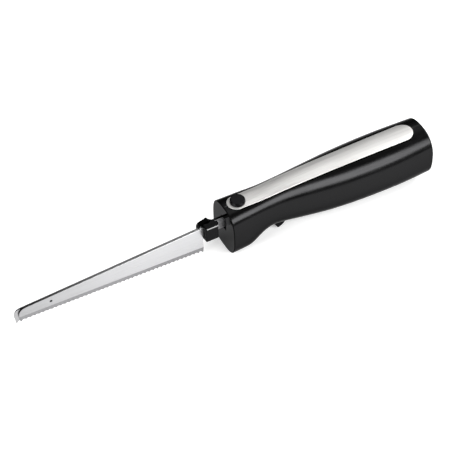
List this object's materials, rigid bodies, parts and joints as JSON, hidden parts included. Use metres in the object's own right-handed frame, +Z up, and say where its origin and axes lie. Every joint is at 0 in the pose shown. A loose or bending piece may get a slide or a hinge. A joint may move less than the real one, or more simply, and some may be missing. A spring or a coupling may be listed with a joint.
{
  "type": "electric carving knife",
  "caption": "Long tapering motor handle with a steel top strip, round release button and underside trigger, driving a pair of serrated blades that slide against each other.",
  "frame": {"origin": "middle of the underside of the whole knife's bounding box", "axes": "+X along the knife from the blade tips to the rear of the handle, +Y away from the blade seen first, +Z up out of the top strip"},
  "size_m": [0.4181, 0.0526, 0.0552],
  "materials": {
    "housing": "gloss",
    "controls": "gloss",
    "collars": "satin",
    "strip": "brushed",
    "blade": "satin",
    "hardware": "satin",
    "nylon": "matte",
    "grey_plastic": "matte",
    "motor_steel": "satin",
    "ferrite": "matte",
    "copper": "satin",
    "brass": "satin",
    "carbon": "matte",
    "board": "matte",
    "gland": "matte",
    "lead": "matte",
    "cap": "satin"
  },
  "bodies": {
    "handle": {"housing_left": "housing", "housing_right": "housing", "top_strip": "strip", "drive_frame": "grey_plastic", "wheel_axle": "hardware", "front_bush": "brass", "front_guide": "grey_plastic", "motor_can": "motor_steel", "motor_bushes": "brass", "motor_screws": "hardware", "motor_magnets": "ferrite", "brush_holder": "grey_plastic", "brushes": "carbon", "brush_springs": "hardware", "trigger_pin": "hardware", "trigger_spring": "hardware", "micro_switch": "grey_plastic", "rectifier_board": "board", "diodes": "carbon", "capacitor": "cap", "cord_gland": "gland", "cord_clamp": "grey_plastic", "clamp_screws": "hardware", "housing_screws": "hardware", "switch_leads": "lead", "motor_leads": "lead", "button_spring": "hardware"},
    "left_drive": {"blade_left": "blade", "tip_rivet": "hardware", "collar_left": "collars", "collar_clip": "hardware", "carrier_left": "nylon", "latch_spring_left": "hardware", "latch_rivet_left": "brass"},
    "right_drive": {"blade_right": "blade", "collar_right": "collars", "carrier_right": "nylon", "latch_spring_right": "hardware", "latch_rivet_right": "brass"},
    "wheel": {"worm_wheel": "nylon", "eccentric_left": "hardware", "eccentric_right": "hardware"},
    "rotor": {"worm": "brass", "motor_shaft": "hardware", "armature_core": "motor_steel", "armature_windings": "copper", "commutator": "copper"},
    "button": {"release_button": "controls"},
    "trigger": {"trigger": "controls"},
    "plunger": {"switch_plunger": "nylon"}
  },
  "joints": [
    {"name": "left_blade_slide", "type": "slide", "parent": "handle", "child": "left_drive", "axis": [1, 0, 0], "range_m": [-0.005, 0.001]},
    {"name": "right_blade_slide", "type": "slide", "parent": "handle", "child": "right_drive", "axis": [1, 0, 0], "range_m": [-0.001, 0.005]},
    {"name": "rotor_spin", "type": "hinge", "parent": "handle", "child": "rotor", "pos_m": [0.0982, 0, 0.02933], "axis": [1, 0, 0], "continuous": true},
    {"name": "wheel_spin", "type": "hinge", "parent": "handle", "child": "wheel", "pos_m": [0.0692, 0, 0.04063], "axis": [0, 1, 0], "continuous": true},
    {"name": "trigger_squeeze", "type": "hinge", "parent": "handle", "child": "trigger", "pos_m": [0.0444, 0, 0.01873], "axis": [0, 1, 0], "range_deg": [-12, 0], "stiffness_Nm_per_rad": 0.05, "springref_deg": 20.05, "deforming": ["trigger_spring"]},
    {"name": "plunger_travel", "type": "slide", "parent": "handle", "child": "plunger", "axis": [0, 0, 1], "range_m": [0, 0.0019]},
    {"name": "button_press", "type": "slide", "parent": "handle", "child": "button", "axis": [0, 0, -1], "range_m": [0, 0.0025], "stiffness_N_per_m": 400, "springref_m": -0.003, "deforming": ["button_spring", "latch_spring_left", "latch_spring_right"]}
  ],
  "couplings": [
    {"joint": "right_blade_slide", "follows": "left_blade_slide", "ratio": -1},
    {"joint": "wheel_spin", "follows": "rotor_spin", "ratio": 0.05},
    {"joint": "plunger_travel", "follows": "trigger_squeeze", "m_per_rad": -0.0086}
  ]
}
